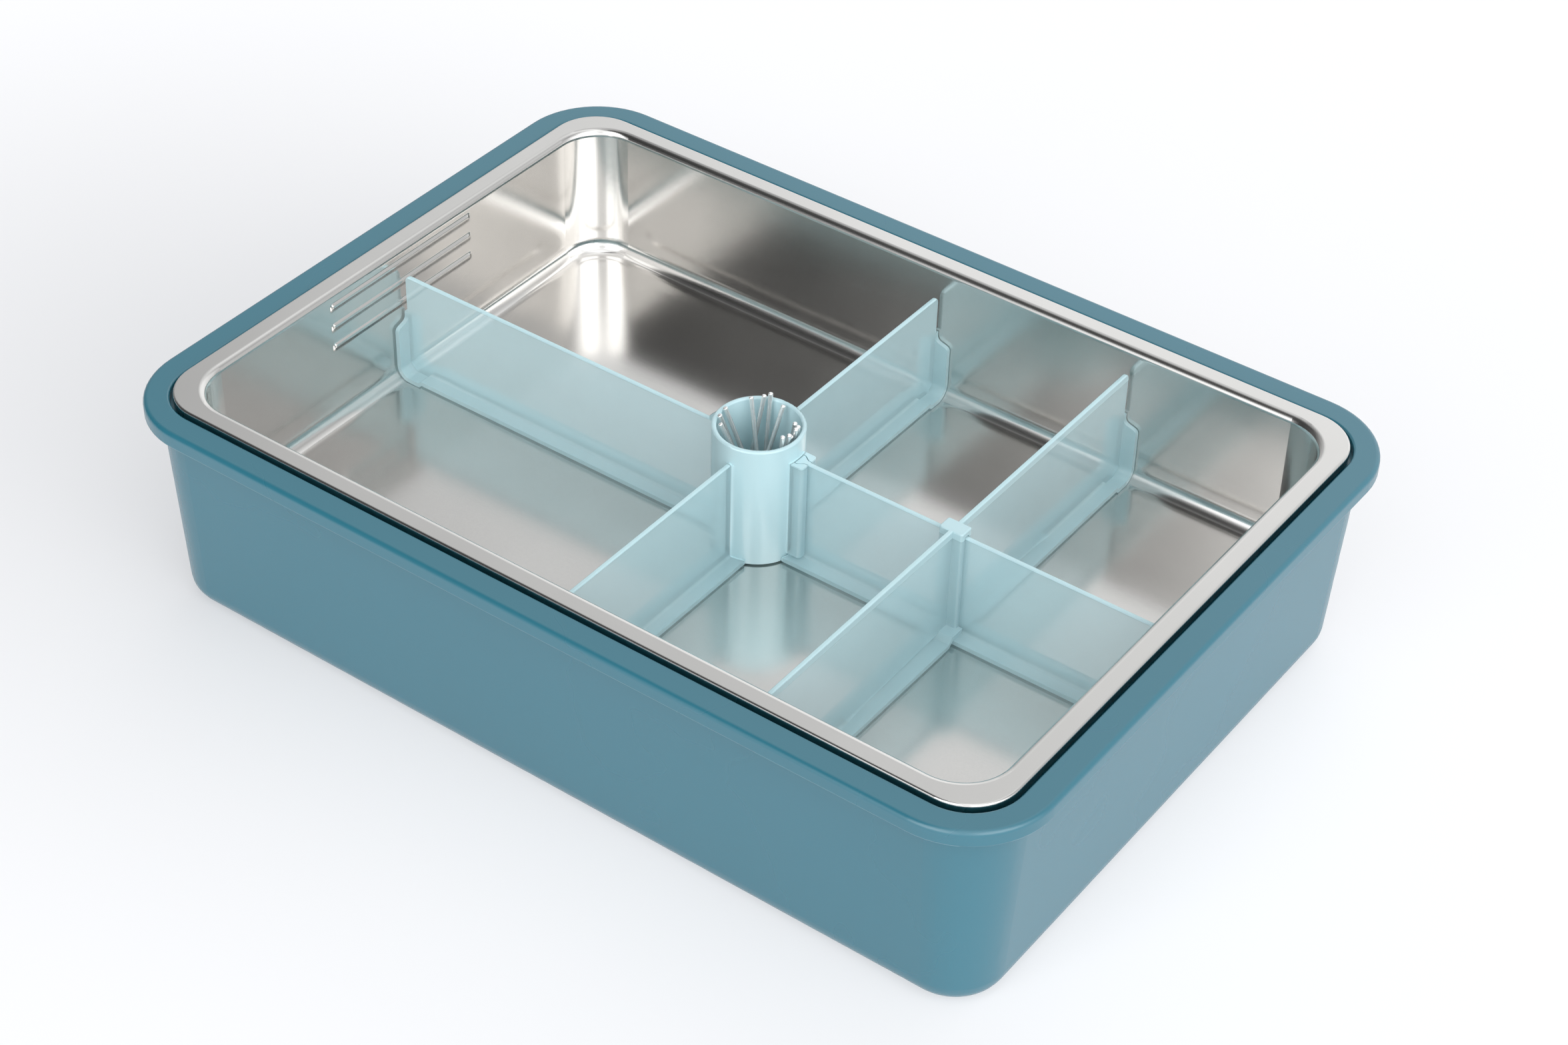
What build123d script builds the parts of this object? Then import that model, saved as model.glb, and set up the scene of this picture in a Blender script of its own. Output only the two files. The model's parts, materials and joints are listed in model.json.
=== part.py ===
# Snack box: a moulded tub, a pressed steel pan hung in its rim, a loose set of
# clear dividers round a cup, one sliding cross divider and the picks in the cup.
# Origin: centre of the tub's base, +Z up, +X along the long side, +Y to the back.
# Every length is in millimetres.
import os
from math import atan2, degrees, hypot

from build123d import *

# Pan, pressed from sheet. Its rim places the tub, and its floor the dividers
PAN_LENGTH = 400.0
PAN_WIDTH = 278.4
PAN_CORNER = 21.5
PAN_TOP = 102.0
PAN_DEPTH = 64.0
SHEET = 0.8
LIP_DEPTH = 3.8
LIP_ROUND = 1.0
BASIN_INSET = 9.75
BASIN_CORNER = 20.5
BASIN_EDGE_ROUND = 3.0
BASIN_FLOOR_ROUND = 7.0
PANEL_INSET = 14.6
PANEL_CORNER = 12.0
PANEL_RISE = 1.0
PANEL_SLOPE = 0.9
BEAD_LENGTH = 90.0
BEAD_DROPS = (7.0, 17.0, 27.0)
BEAD_RADIUS = 2.5
BEAD_PROUD = 0.45

# Tub, outside
TUB_MARGIN = 13.0
TUB_CORNER = 37.0
STEEL_PROUD = 1.6
BAND_HEIGHT = 7.0
BAND_THICK = 3.0
BAND_TOP_ROUND = 2.0
BAND_LOW_ROUND = 0.9
WALL_MARGIN = 5.6
WALL_CORNER = 27.5
WALL_BELOW_TOP = 2.0
WALL_DRAFT = 5.2
BASE_CORNER = 21.6
BASE_ROUND = 10.6
TUB_WALL = 3.0
TUB_FLOOR = 3.2
TUB_INNER_ROUND = 6.0
LEDGE_ROUND = 2.0

# Seat of the pan in the tub's rim
LIP_GAP = 1.4
UPSTAND_GAP = 0.8
UPSTAND_THICK = 3.0
SEAT_GAP = 0.3
GROOVE_DEPTH = 4.8
GROOVE_EDGE_ROUND = 1.0
LEDGE_THICK = 3.0

# Cup of the main divider
CUP_RADIUS = 19.2
CUP_WALL = 2.0
CUP_DROP = 4.8
CUP_FLOOR = 2.5
CUP_RIM_ROUND = 0.8
CUP_FOOT_ROUND = 1.6
ARM_ROOT_ROUND = 1.6
GUSSET_REACH = 5.0
GUSSET_RISE = 5.0
GUSSET_TOE = 1.5

# Divider walls, flanges and ends
DIVIDER_THICK = 2.0
DIVIDER_DROP = 13.0
DIVIDER_EDGE_ROUND = 0.6
FLANGE_HALF = 7.5
FLANGE_THICK = 2.0
FLANGE_LIFT = 1.8
FLANGE_ROOT = 1.2
FOOT_LIFT = 0.3
FOOT_LENGTH = 12.0
FOOT_RAMP = 1.6
END_GAP = 0.4
END_FOOT_ROUND = 6.6
SHOULDER_RISE = 26.2
SHOULDER_HEIGHT = 2.0
SHOULDER_ROUND = 2.6
END_RECESS = 1.3
TOP_CORNER_ROUND = 2.6

# Dovetail between the cup and the right divider
SOCKET_REACH = 6.1
SOCKET_HALF = 5.2
SOCKET_LIFT = 1.2
SOCKET_ROUND = 1.5
HEAD_OFFSET = 1.0
HEAD_FLAT = 0.8
HEAD_TAPER = 2.7
HEAD_HALF = 2.9
DOVETAIL_GAP = 0.45
CUP_CLEARANCE = 0.45

# Cross divider and its saddle
CROSS_X = 95.0
CROSS_DROP = 10.3
SADDLE_LENGTH = 11.0
SADDLE_WIDTH = 7.0
SADDLE_CORNER = 1.0
SADDLE_SLOT_GAP = 0.4
SADDLE_ROOF_GAP = 0.6
RAISED_GAP = 0.45
RAISED_CLEARANCE = 0.6
RAISED_RAMP = 2.4
STRAP_CHAMFER = 1.7

# Picks: where each loose shaft's axis meets the cup's floor and its rim plane,
# as (x, y) of the foot and (x, y) of the rim point in bore radii
PICK_RADIUS = 1.0
PICK_LENGTH = 59.0
PICK_END_ROUND = 0.45
PICK_FLOOR_GAP = 0.34
PICK_LEANS = (
    (0.1570, 0.1029, -0.6262, 0.5488),
    (-0.6924, 0.1471, -0.4209, 0.7099),
    (-0.1709, 0.3360, -0.3169, 0.8581),
    (-0.2262, -0.3047, 0.0750, 0.8285),
    (0.0884, 0.4326, -0.9128, -0.0622),
    (-0.3157, 0.5314, -0.8349, -0.3744),
    (0.4564, 0.1715, -0.7314, -0.5500),
    (0.0314, 0.8081, 0.7366, 0.3791),
    (0.0326, 0.2756, 0.8622, 0.3064),
    (0.2064, 0.2297, 0.9000, 0.1663),
    (0.1884, -0.0680, 0.9087, -0.1064),
    (-0.3593, 0.0924, 0.8860, 0.0302),
    (0.4145, -0.0919, 0.8680, -0.2901),
)

# Sizes that follow from the ones above
STEEL = (PAN_LENGTH, PAN_WIDTH, PAN_CORNER)
BASIN = (PAN_LENGTH - 2 * BASIN_INSET, PAN_WIDTH - 2 * BASIN_INSET, BASIN_CORNER)
PANEL = (BASIN[0] - 2 * PANEL_INSET, BASIN[1] - 2 * PANEL_INSET, PANEL_CORNER)
BASIN_FLOOR = PAN_TOP - PAN_DEPTH
TUB_TOP = PAN_TOP - STEEL_PROUD
GROOVE_FLOOR = TUB_TOP - GROOVE_DEPTH
LEDGE_LOW = GROOVE_FLOOR - LEDGE_THICK
BASIN_X = BASIN[0] / 2
BASIN_Y = BASIN[1] / 2
ARM_X = BASIN_X - BEAD_PROUD - END_GAP
ARM_Y = BASIN_Y - END_GAP
HALF_WALL = DIVIDER_THICK / 2
CUP_TOP = PAN_TOP - CUP_DROP
DIVIDER_TOP = PAN_TOP - DIVIDER_DROP
CROSS_TOP = PAN_TOP - CROSS_DROP
FLANGE_BOTTOM = BASIN_FLOOR + FLANGE_LIFT
FLANGE_TOP = FLANGE_BOTTOM + FLANGE_THICK
FOOT_BOTTOM = BASIN_FLOOR + FOOT_LIFT
FOOT_TOP = FOOT_BOTTOM + FLANGE_THICK
SHOULDER_LOW = BASIN_FLOOR + SHOULDER_RISE
SHOULDER_HIGH = SHOULDER_LOW + SHOULDER_HEIGHT
SOCKET_OUT = CUP_RADIUS + SOCKET_REACH
SOCKET_BOTTOM = FLANGE_TOP + SOCKET_LIFT
HEAD_BACK = CUP_RADIUS + HEAD_OFFSET
HEAD_SHOULDER = HEAD_BACK + HEAD_FLAT
HEAD_NOSE = HEAD_SHOULDER + HEAD_TAPER
RAISED_HALF = FLANGE_HALF + RAISED_CLEARANCE
RAISED_BOTTOM = FLANGE_TOP + RAISED_GAP


def block(length, width, corner, low, high):
    """An upright prism with rounded corners, centred on the origin."""
    outline = Pos(0, 0, low) * RectangleRounded(length, width, corner)
    return extrude(outline, high - low)


def drafted(low_size, high_size, low, high):
    """A prism that changes evenly from one rounded rectangle to another."""
    bottom = Pos(0, 0, low) * RectangleRounded(*low_size)
    top = Pos(0, 0, high) * RectangleRounded(*high_size)
    return loft([bottom, top], ruled=True)


def level_edges(solid, height, reach=0.05):
    """The edges that lie at one height."""
    return solid.edges().filter_by(lambda e: abs(e.bounding_box().min.Z - height) < reach
                                   and abs(e.bounding_box().max.Z - height) < reach)


def grown(size, amount, corner=None):
    """A rounded rectangle's three sizes, moved outward all round."""
    return (size[0] + 2 * amount, size[1] + 2 * amount, corner or size[2] + amount)


def make_tub():
    """The moulded tub: drafted body, hollow rolled rim, groove and upstand."""
    outline = (PAN_LENGTH, PAN_WIDTH, 0)
    rim = grown(outline, TUB_MARGIN, TUB_CORNER)
    wall_top = grown(outline, WALL_MARGIN, WALL_CORNER)
    base = grown(outline, WALL_MARGIN - WALL_DRAFT, BASE_CORNER)
    wall_height = TUB_TOP - WALL_BELOW_TOP
    band_low = TUB_TOP - BAND_HEIGHT
    upstand = grown(STEEL, -SHEET - UPSTAND_GAP)

    body = drafted(base, wall_top, 0, wall_height)
    body = fillet(level_edges(body, 0), BASE_ROUND)
    band = block(*rim, band_low, TUB_TOP)
    band = fillet(level_edges(band, TUB_TOP), BAND_TOP_ROUND)
    band = fillet(level_edges(band, band_low), BAND_LOW_ROUND)
    under = block(*grown(rim, -BAND_THICK), band_low - BAND_THICK, TUB_TOP - BAND_THICK)
    tub = band - under + body
    tub = tub - block(*grown(STEEL, LIP_GAP), GROOVE_FLOOR, PAN_TOP)
    groove_edge = [e for e in level_edges(tub, TUB_TOP) if abs(e.center().X) < PAN_LENGTH / 2 + 2 * LIP_GAP
                   and abs(e.center().Y) < PAN_WIDTH / 2 + 2 * LIP_GAP]
    tub = fillet(groove_edge, GROOVE_EDGE_ROUND)
    tub = tub + block(*upstand, LEDGE_LOW, PAN_TOP - SHEET - SEAT_GAP)

    share = LEDGE_LOW / wall_height
    under_ledge = [low + (high - low) * share for low, high in zip(base, wall_top)]
    cavity = drafted(grown(base, -TUB_WALL), grown(under_ledge, -TUB_WALL), TUB_FLOOR, LEDGE_LOW)
    cavity = fillet(level_edges(cavity, TUB_FLOOR), TUB_INNER_ROUND)
    cavity = fillet(level_edges(cavity, LEDGE_LOW), LEDGE_ROUND)
    mouth = block(*grown(upstand, -UPSTAND_THICK), LEDGE_LOW - 2 * LEDGE_ROUND, PAN_TOP)
    return tub - cavity - mouth


def beads(radius):
    """The pressed beads of both short walls, as rods with round ends."""
    half = BEAD_LENGTH / 2 - BEAD_RADIUS
    reach = BASIN_X - BEAD_PROUD + BEAD_RADIUS
    spine = Polyline((radius, half), (radius, -half))
    ends = [RadiusArc((0, half + radius), (radius, half), radius),
            RadiusArc((radius, -half), (0, -half - radius), radius)]
    outline = make_face([spine, *ends, Line((0, -half - radius), (0, half + radius))])
    rod = revolve(outline, Axis.Y)
    return [Pos(side * reach, 0, PAN_TOP - drop) * rod for side in (-1, 1) for drop in BEAD_DROPS]


def basin_edges(solid, height):
    """The edges at one height that run round the basin, not round the lip."""
    return level_edges(solid, height).filter_by(lambda e: abs(e.center().X) < BASIN_X + 2 * SHEET
                                                and abs(e.center().Y) < BASIN_Y + 2 * SHEET)


def make_pan():
    """The pressed pan: flat rim, turned-down lip, basin, raised panel, beads."""
    rim_low = PAN_TOP - SHEET

    shell = block(*grown(BASIN, SHEET), BASIN_FLOOR - SHEET, rim_low)
    shell = fillet(level_edges(shell, BASIN_FLOOR - SHEET), BASIN_FLOOR_ROUND + SHEET)
    plate = block(*STEEL, PAN_TOP - LIP_DEPTH, PAN_TOP)
    plate = fillet(level_edges(plate, PAN_TOP), LIP_ROUND)
    plate = plate - block(*grown(STEEL, -SHEET), PAN_TOP - 2 * LIP_DEPTH, rim_low)
    body = shell + plate
    body = fillet(basin_edges(body, rim_low), BASIN_EDGE_ROUND - SHEET)

    hollow = block(*BASIN, BASIN_FLOOR, PAN_TOP + LIP_DEPTH)
    hollow = fillet(level_edges(hollow, BASIN_FLOOR), BASIN_FLOOR_ROUND)
    body = body - hollow
    body = fillet(basin_edges(body, PAN_TOP), BASIN_EDGE_ROUND)

    raised = drafted(grown(PANEL, PANEL_SLOPE), PANEL, BASIN_FLOOR - SHEET / 4, BASIN_FLOOR + PANEL_RISE)
    pocket = drafted(grown(PANEL, PANEL_SLOPE - SHEET / 2), grown(PANEL, -SHEET / 2),
                     BASIN_FLOOR - SHEET, BASIN_FLOOR - SHEET + PANEL_RISE)
    body = body + raised - pocket
    return body + beads(BEAD_RADIUS) - beads(BEAD_RADIUS - SHEET)


def strip_profile(start, end, raised=False):
    """Side view of the flange that runs out, steps down and wraps up the end."""
    inner = end - FLANGE_THICK
    turn = END_FOOT_ROUND
    step = end - FOOT_LENGTH
    low = [(start, FLANGE_BOTTOM), (step - FOOT_RAMP, FLANGE_BOTTOM), (step, FOOT_BOTTOM)]
    high = [(step + 0.4, FOOT_TOP), (step - FOOT_RAMP + 0.4, FLANGE_TOP), (start, FLANGE_TOP)]
    if raised:
        lift = RAISED_BOTTOM
        bend = RAISED_HALF + RAISED_RAMP
        low = [(start, lift), (RAISED_HALF, lift), (bend, FLANGE_BOTTOM)] + low[1:]
        high = high[:2] + [(bend + 0.4, FLANGE_TOP), (RAISED_HALF + 0.4, lift + FLANGE_THICK),
                           (start, lift + FLANGE_THICK)]
    out = Polyline(*low, (end - turn, FOOT_BOTTOM))
    corner = RadiusArc((end - turn, FOOT_BOTTOM), (end, FOOT_BOTTOM + turn), -turn)
    rise = Polyline((end, FOOT_BOTTOM + turn), (end, SHOULDER_HIGH + 4), (inner, SHOULDER_HIGH + 4),
                    (inner, FOOT_BOTTOM + turn))
    small = turn - FLANGE_THICK
    inside = RadiusArc((inner, FOOT_BOTTOM + turn), (inner - small, FOOT_TOP), small)
    back = Polyline((inner - small, FOOT_TOP), *high, low[0])
    return make_face([out, corner, rise, inside, back])


def shoulder_profile():
    """End view of the upright plate: full width, then drawn in to the wall."""
    low = FOOT_BOTTOM - 1
    top = SHOULDER_HIGH + 5
    outline = Polyline((-FLANGE_HALF, low), (FLANGE_HALF, low), (FLANGE_HALF, SHOULDER_LOW),
                       (HALF_WALL, SHOULDER_HIGH), (HALF_WALL, top), (-HALF_WALL, top),
                       (-HALF_WALL, SHOULDER_HIGH), (-FLANGE_HALF, SHOULDER_LOW), close=True)
    face = make_face(outline)
    bends = [v for v in face.vertices() if SHOULDER_LOW - 1 < v.Y < SHOULDER_HIGH + 1]
    return fillet(bends, SHOULDER_ROUND)


def arm(start, end, top, raised=False):
    """One divider arm along +X from start to end: wall, flange, foot and end plate."""
    strip = extrude(Plane.XZ * strip_profile(start, end, raised), FLANGE_HALF, both=True)
    plate_view = Plane.YZ.offset(start) * shoulder_profile()
    strip = strip & extrude(plate_view, end - start + 1)
    edge = end - END_RECESS
    base = FLANGE_TOP + RAISED_GAP + 1 if raised else FLANGE_TOP - 1
    inside = end - FLANGE_THICK / 2
    foot_in = end - END_FOOT_ROUND
    side = make_face(Polyline(
        (start, base), (RAISED_HALF if raised else foot_in - FOOT_LENGTH, base),
        (end - FOOT_LENGTH - FOOT_RAMP - 0.6, FLANGE_TOP - 1), (end - FOOT_LENGTH, FOOT_TOP - 1),
        (foot_in, FOOT_TOP - 1), (inside, FOOT_BOTTOM + END_FOOT_ROUND), (inside, SHOULDER_LOW + 3),
        (edge, SHOULDER_HIGH + 1), (edge, top), (start, top), close=True))
    corner = [v for v in side.vertices() if v.X > edge - 0.1 and v.Y > top - 0.1]
    side = fillet(corner, TOP_CORNER_ROUND)
    wall = extrude(Plane.XZ * side, HALF_WALL, both=True)
    return strip, wall


def rounded_wall(wall, top):
    """Break the two long top edges of an arm's wall."""
    edges = [e for e in level_edges(wall, top) if e.length > 2 * DIVIDER_THICK]
    return fillet(edges, DIVIDER_EDGE_ROUND)


def root_fillets(strip_and_wall, start, end, height):
    """Fillet the seams where the wall meets the flange's top."""
    seams = [e for e in level_edges(strip_and_wall, height)
             if e.length > FOOT_LENGTH and abs(abs(e.center().Y) - HALF_WALL) < 0.05]
    return fillet(seams, FLANGE_ROOT)


def full_arm(start, end, top=DIVIDER_TOP, raised=False):
    """A finished arm along +X."""
    strip, wall = arm(start, end, top, raised)
    whole = strip + rounded_wall(wall, top)
    return root_fillets(whole, start, end, FLANGE_TOP)


def socket_jaws():
    """The two jaws on the cup's side, with the dovetail slot between them."""
    start = CUP_RADIUS - 2.2
    jaw = Pos((start + SOCKET_OUT) / 2, 0, SOCKET_BOTTOM) * extrude(
        Rectangle(SOCKET_OUT - start, 2 * SOCKET_HALF), DIVIDER_TOP - SOCKET_BOTTOM)
    corners = [e for e in jaw.edges().filter_by(Axis.Z) if e.center().X > SOCKET_OUT - 0.1]
    return fillet(corners, SOCKET_ROUND)


def dovetail(grow, low, high):
    """The arrow-shaped head, or the slot for it when grown by the gap."""
    neck = HALF_WALL + grow
    outline = Polyline(
        (HEAD_BACK - grow, -HEAD_HALF - grow), (HEAD_SHOULDER + 0.4 * grow, -HEAD_HALF - grow),
        (HEAD_NOSE + 0.4 * grow, -neck), (SOCKET_OUT + 1, -neck), (SOCKET_OUT + 1, neck),
        (HEAD_NOSE + 0.4 * grow, neck), (HEAD_SHOULDER + 0.4 * grow, HEAD_HALF + grow),
        (HEAD_BACK - grow, HEAD_HALF + grow), close=True)
    return extrude(Pos(0, 0, low) * make_face(outline), high - low)


def arm_roots():
    """The filleted corners where the three arms' walls leave the cup."""
    reach = CUP_RADIUS + 6
    plan = Circle(CUP_RADIUS) + Pos(-reach / 2, 0) * Rectangle(reach, DIVIDER_THICK)
    plan = plan + Rectangle(DIVIDER_THICK, 2 * reach)
    inner = [v for v in plan.vertices() if abs(hypot(v.X, v.Y) - CUP_RADIUS) < 0.05]
    plan = fillet(inner, ARM_ROOT_ROUND)
    low = FLANGE_TOP - 0.5
    return extrude(Pos(0, 0, low) * plan, DIVIDER_TOP - DIVIDER_EDGE_ROUND - low)


def make_main_divider():
    """Cup, left, front and back arms and the dovetail socket in one moulding."""
    inner = CUP_RADIUS - CUP_WALL
    start = CUP_RADIUS - CUP_WALL / 2
    whole = Rot(0, 0, 180) * full_arm(start, ARM_X)
    whole = whole + Rot(0, 0, 90) * full_arm(start, ARM_Y)
    whole = whole + Rot(0, 0, -90) * full_arm(start, ARM_Y)
    cup = Pos(0, 0, FLANGE_BOTTOM) * extrude(Circle(CUP_RADIUS), CUP_TOP - FLANGE_BOTTOM)
    cup = fillet(level_edges(cup, CUP_TOP), CUP_RIM_ROUND)
    gusset_low = DIVIDER_TOP - 2 * DIVIDER_EDGE_ROUND
    gusset_top = DIVIDER_TOP + GUSSET_RISE
    gusset = make_face(Polyline(
        (0, gusset_low), (CUP_RADIUS + GUSSET_REACH, gusset_low),
        (CUP_RADIUS + GUSSET_REACH, DIVIDER_TOP + GUSSET_TOE), (CUP_RADIUS + GUSSET_TOE, gusset_top),
        (0, gusset_top), close=True))
    gusset = extrude(Plane.XZ * gusset, HALF_WALL, both=True)
    whole = whole + cup + socket_jaws() + Rot(0, 0, 180) * gusset
    whole = whole + arm_roots()
    bore = Pos(0, 0, FLANGE_BOTTOM + CUP_FLOOR) * extrude(Circle(inner), CUP_TOP)
    bore = fillet(level_edges(bore, FLANGE_BOTTOM + CUP_FLOOR), CUP_FOOT_ROUND)
    whole = whole - bore
    whole = whole - dovetail(DOVETAIL_GAP, SOCKET_BOTTOM - 1, DIVIDER_TOP + 1)
    mouth = [e for e in level_edges(whole, CUP_TOP) if abs(e.radius - inner) < 0.05]
    return fillet(mouth, CUP_RIM_ROUND)


def make_right_divider():
    """The separate arm that hooks into the cup's socket by its arrow head."""
    whole = full_arm(CUP_RADIUS - CUP_WALL, ARM_X)
    width = 2 * FLANGE_HALF + DIVIDER_THICK
    root = extrude(Pos(0, 0, FLANGE_TOP) * Rectangle(2 * HEAD_NOSE, width), CUP_TOP)
    head = dovetail(0, FLANGE_TOP - FLANGE_THICK / 4, DIVIDER_TOP)
    tail = extrude(Pos(SOCKET_OUT + width / 2, 0, 0) * Rectangle(width, width), CUP_TOP)
    whole = whole - root + (head - tail)
    return whole - Cylinder(CUP_RADIUS + CUP_CLEARANCE, 2 * PAN_TOP)


def make_cross_divider():
    """The sliding divider: two half walls joined by a saddle over the arm."""
    half = full_arm(HALF_WALL, ARM_Y, CROSS_TOP, raised=True)
    whole = Rot(0, 0, 90) * half + Rot(0, 0, -90) * half
    lift = RAISED_BOTTOM
    outline = RectangleRounded(SADDLE_LENGTH, SADDLE_WIDTH, SADDLE_CORNER)
    saddle = Pos(0, 0, lift) * extrude(outline, CROSS_TOP - lift)
    saddle = fillet(level_edges(saddle, CROSS_TOP), DIVIDER_EDGE_ROUND)
    whole = whole + saddle
    slot = HALF_WALL + SADDLE_SLOT_GAP
    roof = DIVIDER_TOP + SADDLE_ROOF_GAP
    length = 2 * (FLANGE_HALF + SADDLE_LENGTH)
    whole = whole - extrude(Rectangle(length, 2 * slot), roof)
    below = lift - FLANGE_THICK / 2
    flare = make_face(Polyline((-slot - STRAP_CHAMFER, below), (slot + STRAP_CHAMFER, below),
                               (slot + STRAP_CHAMFER, lift), (slot, lift + STRAP_CHAMFER),
                               (-slot, lift + STRAP_CHAMFER), (-slot - STRAP_CHAMFER, lift), close=True))
    whole = whole - extrude(Plane.YZ * flare, length / 2, both=True)
    return Pos(CROSS_X, 0, 0) * whole


def make_pick(foot, rim):
    """One plain round pick with softened ends, leaning from floor to rim."""
    bore = CUP_RADIUS - CUP_WALL
    foot_x, foot_y = foot[0] * bore, foot[1] * bore
    rim_x, rim_y = rim[0] * bore, rim[1] * bore
    floor = FLANGE_BOTTOM + CUP_FLOOR
    across = hypot(rim_x - foot_x, rim_y - foot_y)
    slant = across / hypot(across, CUP_TOP - floor)
    foot_z = floor + PICK_FLOOR_GAP + PICK_RADIUS * slant
    rod = Cylinder(PICK_RADIUS, PICK_LENGTH, align=(Align.CENTER, Align.CENTER, Align.MIN))
    rod = fillet(rod.edges().filter_by(GeomType.CIRCLE), PICK_END_ROUND)
    tilt = degrees(atan2(across, CUP_TOP - foot_z))
    turn = degrees(atan2(rim_y - foot_y, rim_x - foot_x))
    return Pos(foot_x, foot_y, foot_z) * Rot(0, 0, turn) * Rot(0, tilt, 0) * rod


def main():
    os.makedirs("parts", exist_ok=True)
    export_step(make_tub(), "parts/tub.step")
    export_step(make_pan(), "parts/pan.step")
    export_step(make_main_divider(), "parts/main_divider.step")
    export_step(make_right_divider(), "parts/right_divider.step")
    export_step(make_cross_divider(), "parts/cross_divider.step")
    for number, lean in enumerate(PICK_LEANS, 1):
        export_step(make_pick(lean[:2], lean[2:]), f"parts/pick_{number:02d}.step")


main()
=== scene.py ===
import json
import math

import bmesh
import bpy
from bpy.props import FloatProperty, FloatVectorProperty, IntProperty, PointerProperty
from mathutils import Euler, Matrix, Vector


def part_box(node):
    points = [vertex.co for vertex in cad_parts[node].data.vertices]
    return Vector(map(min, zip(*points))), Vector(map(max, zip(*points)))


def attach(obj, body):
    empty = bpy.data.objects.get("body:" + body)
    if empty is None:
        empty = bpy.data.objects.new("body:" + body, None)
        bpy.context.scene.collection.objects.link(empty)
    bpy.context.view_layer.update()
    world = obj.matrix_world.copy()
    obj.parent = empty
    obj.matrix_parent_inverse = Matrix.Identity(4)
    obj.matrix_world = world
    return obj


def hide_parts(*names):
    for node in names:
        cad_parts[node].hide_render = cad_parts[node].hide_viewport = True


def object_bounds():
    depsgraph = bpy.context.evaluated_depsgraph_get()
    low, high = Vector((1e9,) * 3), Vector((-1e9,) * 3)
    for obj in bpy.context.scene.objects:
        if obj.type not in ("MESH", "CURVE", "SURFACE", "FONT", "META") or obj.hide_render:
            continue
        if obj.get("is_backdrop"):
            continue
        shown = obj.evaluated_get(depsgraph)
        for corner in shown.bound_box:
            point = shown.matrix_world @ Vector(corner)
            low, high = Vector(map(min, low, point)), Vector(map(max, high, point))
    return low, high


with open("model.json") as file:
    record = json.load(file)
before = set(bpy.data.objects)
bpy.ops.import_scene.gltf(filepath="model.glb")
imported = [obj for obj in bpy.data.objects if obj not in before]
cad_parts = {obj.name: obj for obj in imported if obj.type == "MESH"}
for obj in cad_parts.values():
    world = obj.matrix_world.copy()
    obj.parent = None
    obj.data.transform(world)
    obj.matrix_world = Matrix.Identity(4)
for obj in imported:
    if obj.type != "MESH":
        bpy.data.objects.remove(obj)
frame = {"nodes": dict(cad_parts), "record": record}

bl_info = {
    "name": "Snack box dressing",
    "version": (1, 0, 0),
    "blender": (4, 5, 0),
    "location": "View3D > Sidebar > Snack box",
    "description": "Finishes for a snack box: matte tub, satin steel pan, clear dividers and knurled picks",
    "category": "Object",
}

NODES = frame["nodes"]
DIVIDERS = ("main_divider", "right_divider", "cross_divider")
PICKS = sorted(name for name in NODES if name.startswith("pick_"))
JOINTS = {joint["child"]: joint for joint in frame["record"]["behaviour"]["joints"]}

# Where finishes change, in metres. A band runs from its first to its second number past a height or radius.
PAINTED_HIGHLIGHT_BAND = (-0.0001, 0.0004)       # painted highlight: a paler line at the tub rim's lower edge, where its rounded edge catches light
PAINTED_HIGHLIGHT_SOFT = 0.00035
OVERHANG_SOFT = 0.0006              # start of the tub rim's overhang
BEAD_BAND = (-0.0006, 0.0002)       # crest of a pressed bead
BEAD_SOFT = 0.0022
BEAD_END_SOFT = 0.002
BEAD_WALLS = (0.184, 0.186)         # start of the pan's end walls, from the middle
# where the painted dimmer reflection on the pan's flat rim starts, below its height
RIM_DIM_REFLECTION_BAND = (-0.0012, -0.0004)
WALL_EDGE_BAND = (-0.0011, -0.0004)
CUP_EDGE_BAND = (-0.0007, -0.0001)
CUP_BAND = (0.0004, 0.0016)

# The rolled grain's stretch in the steel, and the slow flow in the clear plastic
ROLLED = (60.0, 2400.0, 2400.0)
UPRIGHT = (1.0, 1.0, 4.0)

# How much the clear plastic's cup and top edges hide of what is behind
CUP_MILK = 0.93
EDGE_MILK = 0.96

# Mesh of a pick
END_ROUND = 0.00045                 # radius of the rounded ends
END_RINGS = (0.35, 0.7, 1.0)        # rings of the rounding, as shares of its quarter turn
KNURL_FADE = 0.0006                 # length over which the knurl starts and ends
KNURL_STEEP = 1.5                   # how steep a groove's sides are
KNURL_FACETS = 4                    # faces across one diamond
KNURL_SHIFT = 0.37                  # shift of the knurl from one pick to the next, in diamonds

CAMERA_PLACE = (0.59099, -0.82040, 0.86571)
CAMERA_TURN = (50.97632, -1.35053, 36.23211)
CAMERA_LENS = 72.86
CAMERA_SENSOR = 36.0
CAMERA_REACH = 50.0

TABLE_HALF = 6.0
PAINTED_SHADOW_X = -0.33                       # middle of the shadow painted on the table left of the box
PAINTED_SHADOW_Y = -0.04
# reach of the painted shadow from its middle
PAINTED_SHADOW_REACH = 0.42
BLACK = (0.0, 0.0, 0.0, 1.0)

# Strength of the room's light by direction: degrees round from +X, and degrees above the table
ROUND_LIGHT = ((-180, 0.12), (-120.5, 0.04), (-112.5, 1.30), (8, 1.45), (40, 0.60), (60, 0.95), (100, 1.25),
               (118, 1.19), (131, 0.91), (140, 0.62), (180, 0.20))
HEIGHT_LIGHT = ((0, 0.95), (14, 1.05), (33, 1.08), (44, 0.74), (60, 0.95), (90, 1.35))
SOFTBOXES = ((-106, -72), (-40, 0))
SOFTBOX_SIDE_SOFT = 7
SOFTBOX_HEIGHT = (16, 54)
SOFTBOX_HEIGHT_SOFT = 9
LIGHT_COLOUR = (0.97, 0.985, 1.0, 1.0)
BACKDROP_COLOUR = (0.95, 0.955, 0.97, 1.0)


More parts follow.
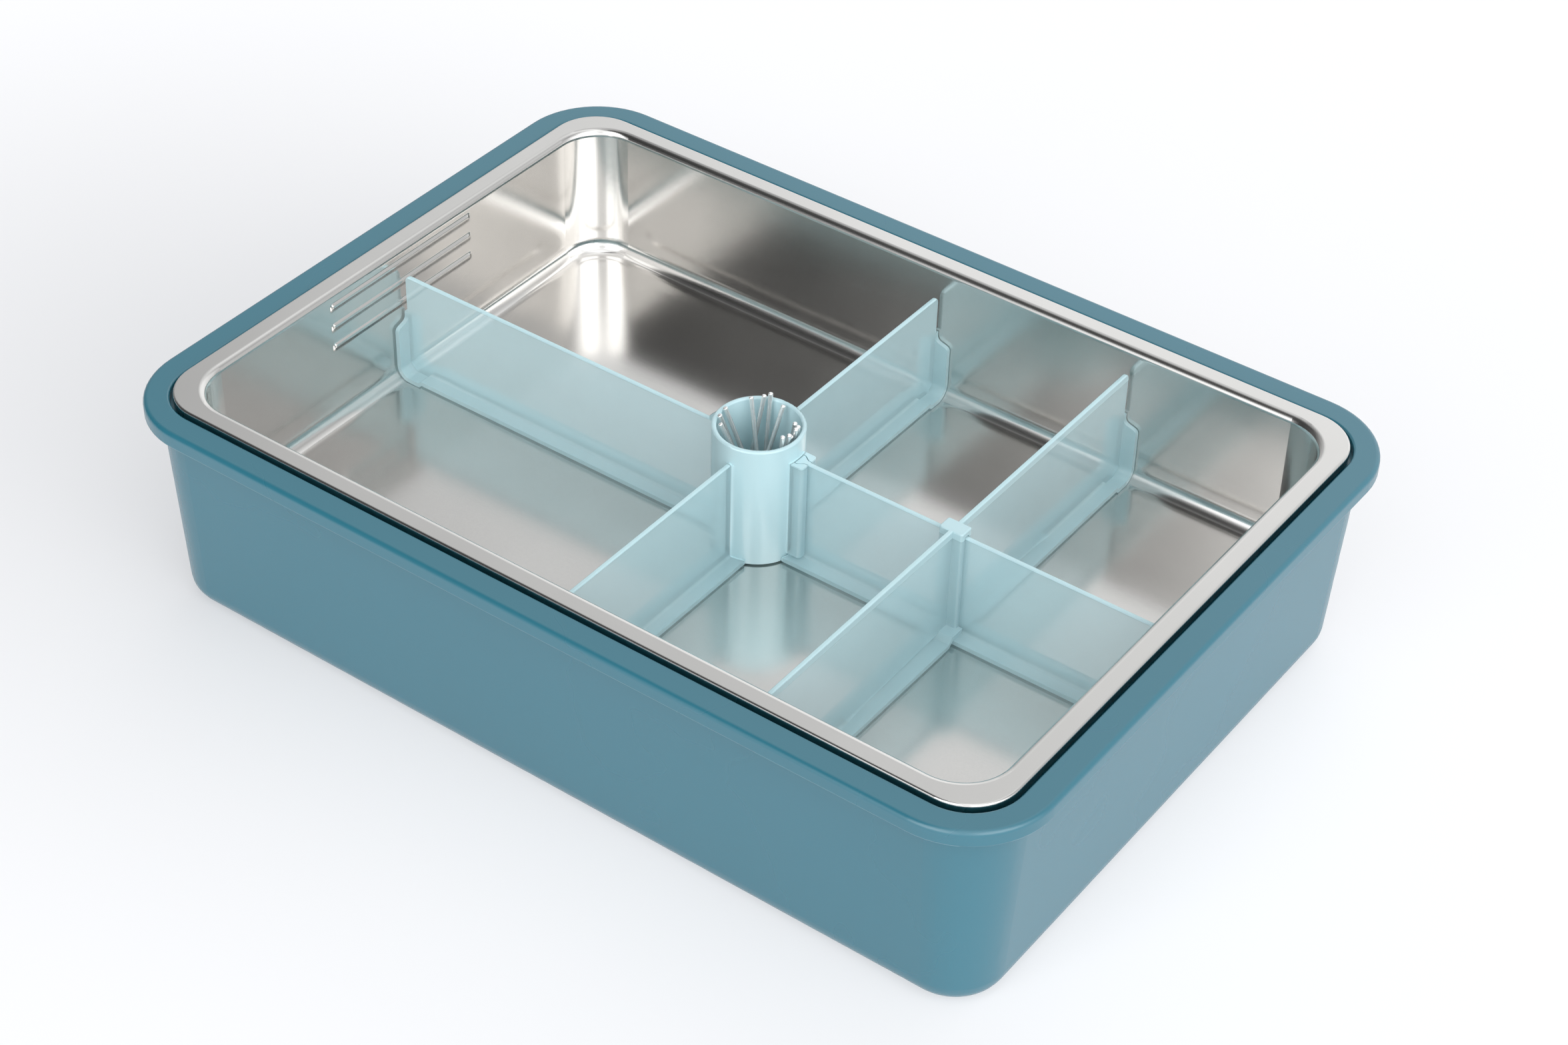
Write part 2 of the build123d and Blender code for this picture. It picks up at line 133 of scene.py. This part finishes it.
class Val:
    """A shader socket that takes part in ordinary arithmetic."""

    def __init__(self, graph, socket):
        self.graph = graph
        self.socket = socket

    def math(self, operation, *others):
        sockets = dict(enumerate((self,) + others))
        return self.graph.node("ShaderNodeMath", {"operation": operation}, sockets)

    def __add__(self, other):
        return self.math("ADD", other)

    __radd__ = __add__

    def __sub__(self, other):
        return self.math("SUBTRACT", other)

    def __rsub__(self, other):
        return self.graph.node("ShaderNodeMath", {"operation": "SUBTRACT"}, {0: other, 1: self})

    def __mul__(self, other):
        return self.math("MULTIPLY", other)

    __rmul__ = __mul__

    def __abs__(self):
        return self.math("ABSOLUTE")

    def over(self, low, high):
        """0 below low, 1 above high, and a smooth step between."""
        sockets = {"Value": self, "From Min": low, "From Max": high}
        return self.graph.node("ShaderNodeMapRange", {"interpolation_type": "SMOOTHSTEP"}, sockets, "Result")

    def under(self, low, high):
        """1 below low, 0 above high, and a smooth step between."""
        return 1 - self.over(low, high)

    def between(self, low, high, soft):
        """1 between two values, 0 outside them, with soft ends."""
        return self.over(low - soft, low) * self.under(high, high + soft)

    def through(self, points):
        """A value that runs smoothly through pairs of this value and the result."""
        total = points[0][1]
        for (low, before), (high, after) in zip(points, points[1:]):
            total = total + self.over(low, high) * (after - before)
        return total

    def most(self, other):
        return self.math("MAXIMUM", other)


class Graph:
    """The emptied node tree of a material or a world."""

    def __init__(self, owner):
        self.owner = owner
        self.owner.use_nodes = True
        self.tree = owner.node_tree
        self.tree.nodes.clear()

    def node(self, kind, props=None, sockets=None, out=0):
        """Adds a node, sets it, fills its sockets, and gives one output back."""
        made = self.tree.nodes.new(kind)
        for key, value in (props or {}).items():
            setattr(made, key, value)
        for key, value in (sockets or {}).items():
            target = made.inputs[key]
            if isinstance(value, Val):
                self.tree.links.new(value.socket, target)
            else:
                target.default_value = value
        return None if out is None else Val(self, made.outputs[out])

    def place(self):
        """Where a point lies on the object, in metres in the row frame."""
        return self.node("ShaderNodeTexCoord", out="Object")

    def axes(self, vector=None):
        """The three coordinates of a place or direction, as separate values."""
        first = self.node("ShaderNodeSeparateXYZ", {}, {0: vector or self.place()})
        return [Val(self, socket) for socket in first.socket.node.outputs]

    def seen(self):
        """1 for what the camera, a reflection or a clear part shows, 0 for light on the object."""
        rays = [self.node("ShaderNodeLightPath", out="Is %s Ray" % kind)
                for kind in ("Camera", "Glossy", "Transmission")]
        return rays[0].most(rays[1]).most(rays[2])

    def noise(self, scale, detail=2.0, stretch=(1, 1, 1)):
        """Noise over the place, finer along an axis with a larger stretch."""
        where = self.node("ShaderNodeVectorMath", {"operation": "MULTIPLY"}, {0: self.place(), 1: stretch})
        return self.node("ShaderNodeTexNoise", {}, {"Vector": where, "Scale": scale, "Detail": detail}, "Fac")

    def blend(self, factor, first, second):
        """A colour between two colours."""
        return self.node("ShaderNodeMix", {"data_type": "RGBA"}, {0: factor, 6: first, 7: second}, 2)

    def mottle(self, factor, colour, low, high):
        """A colour that strays between two shares of itself."""
        return self.blend(factor, rgba(colour, low), rgba(colour, high))

    def bump(self, height, strength, distance, under=None):
        """A normal that a height tilts, on top of the bump under it."""
        sockets = {"Height": height, "Strength": strength, "Distance": distance}
        if under is not None:
            sockets["Normal"] = under
        return self.node("ShaderNodeBump", {}, sockets)

    def principled(self, **sockets):
        """The main shader, with its sockets named in one word each."""
        names = {"colour": "Base Color", "roughness": "Roughness", "metal": "Metallic", "normal": "Normal",
                 "alpha": "Alpha", "ior": "IOR", "specular": "Specular IOR Level", "brushed": "Anisotropic"}
        return self.node("ShaderNodeBsdfPrincipled", {}, {names[k]: v for k, v in sockets.items()}, "BSDF")

    def finish(self, shader, kind="ShaderNodeOutputMaterial"):
        """Ends the tree in a shader and gives the material or world back."""
        self.node(kind, {}, {"Surface": shader}, None)
        return self.owner


def material(name):
    return Graph(bpy.data.materials.new(name))


def rgba(colour, share=1.0):
    return tuple(min(c * share, 1.0) for c in colour) + (1.0,)


def band(start, reach):
    """The two ends of a band past a height or radius."""
    return start + reach[0], start + reach[1]


def radius(x, y):
    """How far a place lies from an upright axis."""
    return (x * x + y * y).math("SQRT")


def matte_plastic(look):
    """Fine-textured moulded plastic: faint clouds and grain, with a painted highlight: a paler line along the
    rim's lower edge, where its rounded edge catches light.
    """
    g = material("tub_matte_plastic")
    x, y, z = g.axes()
    cloud = g.noise(scale=9.0, detail=3.0)
    grain = g.noise(scale=1500.0)
    speck = g.noise(scale=420.0, detail=4.0)
    tone = (cloud * 0.9 + grain * 0.1).over(0.05, 0.95)
    colour = g.mottle(tone, look.colour, low=0.97, high=1.03)
    outside = (abs(x) - look.wall_x).most(abs(y) - look.wall_y).over(0.0, OVERHANG_SOFT)
    # Painted highlight: the rim's lower edge is painted paler where it catches light, its strength varied by
    # a fine speckle
    painted_highlight = z.between(*band(look.seam, PAINTED_HIGHLIGHT_BAND), PAINTED_HIGHLIGHT_SOFT) * outside
    colour = g.blend(painted_highlight * (0.5 + 0.4 * speck), colour, rgba(look.edge))
    rough = look.roughness - 0.02 + cloud * 0.04
    normal = g.bump(grain, strength=0.03, distance=0.00010)
    return g.finish(g.principled(colour=colour, roughness=rough, normal=normal, ior=1.5, specular=1.0))


def satin_steel(look):
    """Drawn stainless sheet: rolled grain, fine mottling, slight waviness, beads, and a painted dimmer
    reflection on the flat rim.
    """
    g = material("pan_satin_steel")
    grain = g.noise(scale=1.0, detail=3.0, stretch=ROLLED)
    haze = g.noise(scale=12.0, detail=3.0)
    wave = g.noise(scale=13.0, detail=1.0)
    fine = g.noise(scale=2600.0)
    x, y, z = g.axes()
    beads = sum(z.between(*band(height, BEAD_BAND), BEAD_SOFT) for height in look.bead_heights)
    beads = beads * abs(y).under(look.bead_half - BEAD_END_SOFT, look.bead_half) * abs(x).over(*BEAD_WALLS)
    # Painted shade: the flat rim's steel is made darker, standing in for the dimmer reflection it shows
    rim = z.over(*band(look.rim, RIM_DIM_REFLECTION_BAND))
    tone = (haze * 0.6 + fine * 0.4).over(0.25, 0.75) * 0.8 - rim * 0.4
    colour = g.mottle(tone.most(0.0), look.colour, low=0.92, high=1.07)
    rough = look.roughness - 0.05 + haze * 0.05 + grain * 0.05
    normal = g.bump(wave, strength=0.18, distance=0.0010)
    normal = g.bump(beads, strength=1.0, distance=look.bead_depth, under=normal)
    normal = g.bump(grain * 0.5 + fine * 0.5, strength=0.08, distance=0.00003, under=normal)
    return g.finish(g.principled(colour=colour, roughness=rough, normal=normal, metal=1.0, brushed=0.3))


def clear_plastic(look):
    """Milky tinted plastic: its walls show a little of what is behind, its cup and top edges hardly any."""
    g = material("divider_clear_plastic")
    x, y, z = g.axes()
    cup = radius(x, y).under(*band(look.cup, CUP_BAND))
    cloud = g.noise(scale=26.0)
    flow = g.noise(scale=5.0, stretch=UPRIGHT)
    edge = z.over(*band(look.top, WALL_EDGE_BAND)) * (1 - cup)
    edge = edge.most(z.over(*band(look.cup_top, CUP_EDGE_BAND)))
    milk = (look.milk + 0.08 * cloud).most(cup * CUP_MILK).most(edge * EDGE_MILK)
    colour = g.mottle(flow, look.colour, low=0.96, high=1.04)
    # The top edges' colour is a painted highlight for the light their rounded tops catch; their milkiness is
    # the real look down through a wall
    colour = g.blend(edge * 0.8, colour, rgba(look.edge))
    rough = look.roughness + 0.06 * cloud
    normal = g.bump(g.noise(scale=55.0), strength=0.10, distance=0.0006)
    normal = g.bump(g.noise(scale=1200.0), strength=0.06, distance=0.00006, under=normal)
    return g.finish(g.principled(colour=colour, roughness=rough, normal=normal, alpha=milk, ior=1.49,
                                 specular=0.85))


def polished_steel(look):
    """Bright pick steel with a trace of tooling marks."""
    g = material("pick_polished_steel")
    marks = g.noise(scale=900.0)
    colour = g.mottle(marks, look.colour, low=0.90, high=1.0)
    rough = look.roughness + 0.10 * marks
    normal = g.bump(marks, strength=0.1, distance=0.00005)
    return g.finish(g.principled(colour=colour, roughness=rough, normal=normal, metal=0.80))


def dress(node, finish):
    """Gives a CAD node a new finish; its shape is kept."""
    mesh = NODES[node].data
    mesh.materials.clear()
    mesh.materials.append(finish)


def looks():
    return bpy.context.scene.snack_box


def colour_prop(name, description, default):
    return FloatVectorProperty(name=name, description=description, subtype="COLOR", size=3, min=0, max=1,
                               default=default)


def length_prop(name, description, default):
    return FloatProperty(name=name, description=description, subtype="DISTANCE", unit="LENGTH",
                         default=default)


def share_prop(name, description, default):
    return FloatProperty(name=name, description=description, default=default, min=0, max=1)


class TubLook(bpy.types.PropertyGroup):
    colour: colour_prop("Colour", "Base colour of the moulded tub", (0.019, 0.145, 0.200))
    # Edge is the colour of the painted highlight along the rim's lower edge
    edge: colour_prop("Edge", "Paler colour along the rim's lower edge", (0.26, 0.42, 0.48))
    roughness: share_prop("Roughness", "How matte the tub is", 0.27)
    seam: length_prop("Rim edge", "Height of the rim's lower edge", 0.0934)
    wall_x: length_prop("Wall half length", "Where the rim stands out from the end walls", 0.2075)
    wall_y: length_prop("Wall half width", "Where the rim stands out from the side walls", 0.1467)


class PanLook(bpy.types.PropertyGroup):
    colour: colour_prop("Colour", "Tint of the steel sheet", (0.715, 0.70, 0.678))
    roughness: share_prop("Roughness", "Softness of the satin", 0.165)
    # Above this height the steel is painted darker, standing in for the rim's dimmer reflection
    rim: length_prop("Rim", "Height of the flat rim, a little darker than the basin", 0.1020)
    bead_heights: FloatVectorProperty(name="Bead heights", description="Heights of the pressed beads", size=3,
                                      subtype="XYZ", unit="LENGTH", default=(0.095, 0.085, 0.075))
    bead_half: length_prop("Bead half length", "Half the length of a bead", 0.0450)
    bead_depth: length_prop("Bead depth", "Extra depth that the beads show", 0.0008)


class DividerLook(bpy.types.PropertyGroup):
    colour: colour_prop("Colour", "Colour of the milky plastic", (0.58, 0.80, 0.845))
    # Edge is partly a painted highlight for the light the rounded top edges catch
    edge: colour_prop("Edge", "Colour of the top edges", (0.48, 0.67, 0.71))
    milk: share_prop("Milkiness", "How much of the back each face hides", 0.44)
    roughness: share_prop("Roughness", "Softness of the gloss", 0.09)
    top: length_prop("Wall top", "Height of the walls' top edges", 0.0890)
    cup: length_prop("Cup radius", "Outer radius of the cup", 0.0192)
    cup_top: length_prop("Cup top", "Height of the cup's rim", 0.0972)


class PickLook(bpy.types.PropertyGroup):
    colour: colour_prop("Colour", "Tint of the picks' steel", (0.97, 0.97, 0.96))
    roughness: share_prop("Roughness", "Polish of the picks", 0.18)
    radius: length_prop("Radius", "Radius of a shaft", 0.0010)
    length: length_prop("Length", "Length of a pick", 0.0590)
    plain: length_prop("Plain end", "Smooth length at each end", 0.0045)
    depth: length_prop("Knurl depth", "Depth of the knurled grooves", 0.00016)
    starts: IntProperty(name="Knurl starts", description="Grooves round the shaft, each way",
                        default=8, min=3)
    pitch: length_prop("Knurl pitch", "Length of one diamond", 0.0011)


class StudioLook(bpy.types.PropertyGroup):
    floor: colour_prop("Floor", "Colour of the table", (0.92, 0.92, 0.935))
    paper: colour_prop("Backdrop", "How the table shows away from the box", (0.985, 0.985, 1.0))
    shade: share_prop("Shade", "Share of real light in the table that shows", 0.48)
    # Strength of the shadow painted on the table left of the box
    painted_shadow: share_prop("Dim side", "How much the table darkens left of the box", 0.28)
    room: FloatProperty(name="Room light", description="Strength of the light all round", default=1.0, min=0)
    boxes: FloatProperty(name="Softboxes", description="Extra strength of the two softboxes in front",
                         default=1.6, min=0)


class SnackBox(bpy.types.PropertyGroup):
    tub: PointerProperty(type=TubLook, name="Tub", description="The moulded tub")
    pan: PointerProperty(type=PanLook, name="Pan", description="The steel pan")
    divider: PointerProperty(type=DividerLook, name="Dividers", description="The clear walls and the cup")
    pick: PointerProperty(type=PickLook, name="Picks", description="The short picks")
    studio: PointerProperty(type=StudioLook, name="Studio", description="Table, light and camera")


class SNACKBOX_OT_tub(bpy.types.Operator):
    """Finish the moulded tub"""
    bl_idname = "snackbox.tub"
    bl_label = "Tub"

    def execute(self, context):
        dress("tub", matte_plastic(looks().tub))
        return {"FINISHED"}


class SNACKBOX_OT_pan(bpy.types.Operator):
    """Finish the pressed steel pan"""
    bl_idname = "snackbox.pan"
    bl_label = "Pan"

    def execute(self, context):
        dress("pan", satin_steel(looks().pan))
        return {"FINISHED"}


class SNACKBOX_OT_dividers(bpy.types.Operator):
    """Finish the cup and the divider walls"""
    bl_idname = "snackbox.dividers"
    bl_label = "Dividers"

    def execute(self, context):
        finish = clear_plastic(looks().divider)
        for node in DIVIDERS:
            dress(node, finish)
        return {"FINISHED"}


def rounded_end(look):
    """Height and radius of each ring of a pick's rounded end, from the tip inwards."""
    rings = [(0.0, look.radius - END_ROUND)]
    for part in END_RINGS:
        angle = part * math.pi / 2
        rings.append((END_ROUND * (1 - math.cos(angle)), look.radius - END_ROUND * (1 - math.sin(angle))))
    return rings


def knurled_radius(look, z, turn, phase):
    """Radius of a pick at a height and a turn, where two sets of slanting grooves cross into diamonds."""
    inside = min(z - look.plain, look.length - look.plain - z) / KNURL_FADE
    fade = min(max(inside, 0.0), 1.0)
    u = turn * look.starts / math.tau
    v = z / look.pitch + phase
    rise = min(abs(((u + v) % 1.0) - 0.5), abs(((u - v) % 1.0) - 0.5)) * 2
    return look.radius - look.depth * fade * (1 - min(rise * KNURL_STEEP, 1.0))


def pick_mesh(name, look, phase):
    """The mesh of one pick along +Z from 0, with a diamond knurl between plain ends."""
    around = KNURL_FACETS * look.starts
    turns = [math.tau * k / around for k in range(around)]
    end = rounded_end(look)
    rings = [[(z, r, t) for t in turns] for z, r in end]
    shaft = look.length - 2 * END_ROUND
    count = int(shaft / (look.pitch / KNURL_FACETS))
    for i in range(count):
        z = END_ROUND + shaft * (i + 0.5) / count
        rings.append([(z, knurled_radius(look, z, t, phase), t) for t in turns])
    rings += [[(look.length - z, r, t) for t in turns] for z, r in reversed(end)]

    made = bmesh.new()
    rows = [[made.verts.new((r * math.cos(t), r * math.sin(t), z)) for z, r, t in ring] for ring in rings]
    for lower, upper in zip(rows, rows[1:]):
        for k in range(around):
            n = (k + 1) % around
            made.faces.new((lower[k], lower[n], upper[n], upper[k]))
    made.faces.new(list(reversed(rows[0])))
    made.faces.new(rows[-1])
    for face in made.faces:
        face.smooth = True
    mesh = bpy.data.meshes.new(name)
    made.to_mesh(mesh)
    made.free()
    return mesh


class SNACKBOX_OT_picks(bpy.types.Operator):
    """Make the knurled picks in the cup"""
    bl_idname = "snackbox.picks"
    bl_label = "Picks"

    def execute(self, context):
        look = looks().pick
        finish = polished_steel(look)
        for number, node in enumerate(PICKS):
            low, high = (Vector(corner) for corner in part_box(node))
            along = Vector(JOINTS[node]["axis"]).normalized()
            mesh = pick_mesh("knurled_" + node, look, KNURL_SHIFT * number)
            mesh.materials.append(finish)
            rod = bpy.data.objects.new("knurled_" + node, mesh)
            context.scene.collection.objects.link(rod)
            turn = Vector((0, 0, 1)).rotation_difference(along)
            start = (low + high) / 2 - along * (look.length / 2)
            rod.matrix_world = Matrix.Translation(start) @ turn.to_matrix().to_4x4()
            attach(rod, node)
            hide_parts(node)
        return {"FINISHED"}


class SNACKBOX_OT_stage(bpy.types.Operator):
    """Set up the table, the soft studio light and the camera"""
    bl_idname = "snackbox.stage"
    bl_label = "Stage"

    def execute(self, context):
        look = looks().studio
        scene = context.scene
        scene.view_settings.view_transform = "Standard"
        self.table(scene, look)
        self.room(scene, look)
        self.camera(scene)
        return {"FINISHED"}

    def table(self, scene, look):
        """A wide table that takes the box's shadow, shows nearly white, and has a painted shadow left of the
        box.
        """
        mesh = bpy.data.meshes.new("table_top")
        corners = [(TABLE_HALF * a, TABLE_HALF * b, 0) for a, b in ((-1, -1), (1, -1), (1, 1), (-1, 1))]
        mesh.from_pydata(corners, [], [(0, 1, 2, 3)])
        table = bpy.data.objects.new("table_top", mesh)
        scene.collection.objects.link(table)
        g = material("table_paper")
        fibre = g.noise(scale=2.0)
        colour = g.mottle(fibre, look.floor, low=0.99, high=1.01)
        lit = g.principled(colour=colour, roughness=0.7, specular=0.2)
        x, y, z = g.axes()
        # Painted shadow: the table is darkened left of the box, where the light from the right and front
        # leaves it shaded
        painted_shadow = radius(x - PAINTED_SHADOW_X, y - PAINTED_SHADOW_Y).under(0.0, PAINTED_SHADOW_REACH) * look.painted_shadow
        paper = g.blend(painted_shadow, rgba(look.paper), BLACK)
        shown = g.node("ShaderNodeEmission", {}, {"Color": paper, "Strength": 1.0})
        share = g.seen() * (1 - look.shade)
        mesh.materials.append(g.finish(g.node("ShaderNodeMixShader", {}, {0: share, 1: lit, 2: shown})))
        table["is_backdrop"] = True

    def room(self, scene, look):
        """Soft light that changes round the room and with height, with two softboxes in front."""
        scene.world = bpy.data.worlds.new("studio_room")
        g = Graph(scene.world)
        x, y, z = g.axes(g.node("ShaderNodeTexCoord", out="Generated"))
        turn = y.math("ARCTAN2", x) * (180 / math.pi)
        rise = z.math("ARCSINE") * (180 / math.pi)
        light = turn.through(ROUND_LIGHT) * rise.through(HEIGHT_LIGHT)
        boxes = sum(turn.between(low, high, SOFTBOX_SIDE_SOFT) for low, high in SOFTBOXES)
        boxes = boxes * rise.between(*SOFTBOX_HEIGHT, SOFTBOX_HEIGHT_SOFT)
        light = (light + look.boxes * boxes) * look.room
        plain = g.node("ShaderNodeBackground", {}, {"Color": LIGHT_COLOUR, "Strength": light})
        shown = g.node("ShaderNodeBackground", {}, {"Color": BACKDROP_COLOUR, "Strength": 1.0})
        camera = g.node("ShaderNodeLightPath", out="Is Camera Ray")
        g.finish(g.node("ShaderNodeMixShader", {}, {0: camera, 1: plain, 2: shown}), "ShaderNodeOutputWorld")

    def camera(self, scene):
        """The camera in the photograph's place."""
        data = bpy.data.cameras.new("photo_camera")
        data.sensor_width = CAMERA_SENSOR
        data.lens = CAMERA_LENS
        data.clip_end = CAMERA_REACH
        camera = bpy.data.objects.new("photo_camera", data)
        scene.collection.objects.link(camera)
        turn = Euler([math.radians(a) for a in CAMERA_TURN], "XYZ")
        camera.matrix_world = Matrix.Translation(CAMERA_PLACE) @ turn.to_matrix().to_4x4()
        scene.camera = camera


class SNACKBOX_PT_panel(bpy.types.Panel):
    """A button for each group of pieces and for the stage, with their sizes and colours"""
    bl_idname = "SNACKBOX_PT_panel"
    bl_label = "Snack box"
    bl_space_type = "VIEW_3D"
    bl_region_type = "UI"
    bl_category = "Snack box"

    def draw(self, context):
        groups = looks()
        for operator, group in PIECES:
            box = self.layout.box()
            box.operator(operator.bl_idname)
            look = getattr(groups, group)
            for key in look.bl_rna.properties.keys():
                if key not in ("rna_type", "name"):
                    box.prop(look, key)


PIECES = ((SNACKBOX_OT_tub, "tub"), (SNACKBOX_OT_pan, "pan"), (SNACKBOX_OT_dividers, "divider"),
          (SNACKBOX_OT_picks, "pick"), (SNACKBOX_OT_stage, "studio"))
CLASSES = (TubLook, PanLook, DividerLook, PickLook, StudioLook, SnackBox, *(piece for piece, _ in PIECES),
           SNACKBOX_PT_panel)


def register():
    for cls in CLASSES:
        bpy.utils.register_class(cls)
    bpy.types.Scene.snack_box = PointerProperty(type=SnackBox, name="Snack box",
                                                description="Sizes and colours of the snack box")


def unregister():
    del bpy.types.Scene.snack_box
    for cls in reversed(CLASSES):
        bpy.utils.unregister_class(cls)


def corners():
    return [[float(value) for value in corner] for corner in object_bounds()]


def main():
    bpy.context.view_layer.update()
    register()
    bpy.ops.snackbox.tub()
    bpy.ops.snackbox.pan()
    bpy.ops.snackbox.dividers()
    bpy.ops.snackbox.picks()
    bpy.ops.snackbox.stage()


if __name__ == "__main__":
    main()
